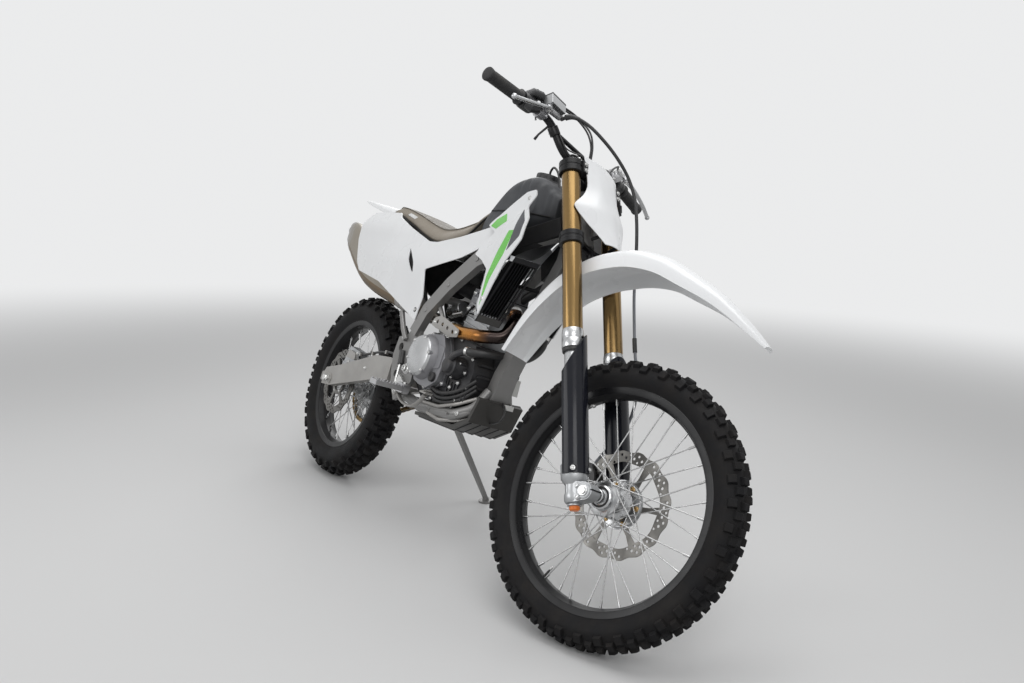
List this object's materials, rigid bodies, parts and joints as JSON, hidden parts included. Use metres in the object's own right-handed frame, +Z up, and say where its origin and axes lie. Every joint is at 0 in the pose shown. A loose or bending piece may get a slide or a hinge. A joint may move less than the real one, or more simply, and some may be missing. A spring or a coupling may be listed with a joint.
{
  "type": "trail motorcycle",
  "caption": "Off-road trail motorcycle leaning on its side stand, bars turned a little left, with long-travel fork, wire wheels, knobby tyres, tall fenders and a side silencer.",
  "frame": {"origin": "centre of the bounding box's bottom face, on the floor", "axes": "+X forwards, +Y to the rider's left, +Z up; the machine leans towards +Y onto its side stand"},
  "size_m": [2.1042, 0.8244, 1.3508],
  "materials": {
    "frame_grey": "satin grey paint",
    "bare_alloy": "satin cast or forged alloy",
    "engine_black": "dark satin casting",
    "heat_tinted_pipe": "heat-tinted steel",
    "titanium": "warm grey brushed metal",
    "anodised_gold": "gold anodised",
    "steel": "brushed",
    "black_steel": "black painted",
    "black_rim": "black anodised",
    "white_plastic": "gloss moulded",
    "black_plastic": "moulded, matt",
    "gloss_black": "gloss moulded",
    "tank_grey": "dark textured moulding",
    "seat_cover": "taupe vinyl",
    "tyre": "dusty black",
    "rubber": "matt",
    "chain_steel": "oiled"
  },
  "bodies": {
    "chassis": {"main_frame": "frame_grey", "lower_cradle": "frame_grey", "subframe": "frame_grey", "swingarm": "bare_alloy", "axle_and_pivot_bolts": "steel", "rear_shock": "black_steel", "engine_case": "engine_black", "engine_covers": "bare_alloy", "cylinder": "engine_black", "cylinder_head": "bare_alloy", "exhaust_header": "heat_tinted_pipe", "silencer": "titanium", "airbox": "black_plastic", "radiators": "bare_alloy", "radiator_louvres": "black_plastic", "fuel_tank": "tank_grey", "fuel_cap": "gloss_black", "seat": "seat_cover", "rear_fender": "white_plastic", "side_panels": "white_plastic", "shrouds": "white_plastic", "skid_plate": "black_plastic", "footpegs": "steel", "foot_levers": "bare_alloy", "drive_chain": "chain_steel", "drive_sprocket": "steel", "rear_caliper": "bare_alloy", "stand_bracket": "black_steel"},
    "rear_wheel": {"rear_tyre": "tyre", "rear_rim": "black_rim", "rear_spokes": "steel", "rear_hub": "bare_alloy", "rear_disc": "steel", "rear_sprocket": "steel"},
    "steering": {"fork_outer_tubes": "anodised_gold", "fork_guards": "gloss_black", "fork_lowers": "bare_alloy", "front_axle": "steel", "lower_clamp": "black_steel", "upper_clamp": "black_steel", "handlebar": "black_steel", "grips": "rubber", "bar_controls": "black_plastic", "levers": "bare_alloy", "front_fender": "white_plastic", "number_plate": "white_plastic", "front_caliper": "bare_alloy", "brake_hose": "rubber"},
    "front_wheel": {"front_tyre": "tyre", "front_rim": "black_rim", "front_spokes": "steel", "front_hub": "bare_alloy", "front_disc": "steel"},
    "side_stand": {"side_stand": "bare_alloy"}
  },
  "joints": [
    {"name": "steering", "type": "hinge", "parent": "chassis", "child": "steering", "pos_m": [0.66089, -0.2173, 0.30255], "axis": [-0.4454, 0.2722, 0.8529], "range_deg": [-59, 27]},
    {"name": "front_wheel", "type": "hinge", "parent": "steering", "child": "front_wheel", "pos_m": [0.71358, -0.19326, 0.3224], "axis": [-0.2468, 0.8784, -0.4092], "continuous": true},
    {"name": "rear_wheel", "type": "hinge", "parent": "chassis", "child": "rear_wheel", "pos_m": [-0.71935, -0.21198, 0.31924], "axis": [0, 0.9527, -0.304], "continuous": true},
    {"name": "side_stand", "type": "hinge", "parent": "chassis", "child": "side_stand", "pos_m": [-0.20431, -0.09088, 0.29084], "axis": [0.0068, 0.9127, 0.4085], "range_deg": [0, 88]}
  ]
}
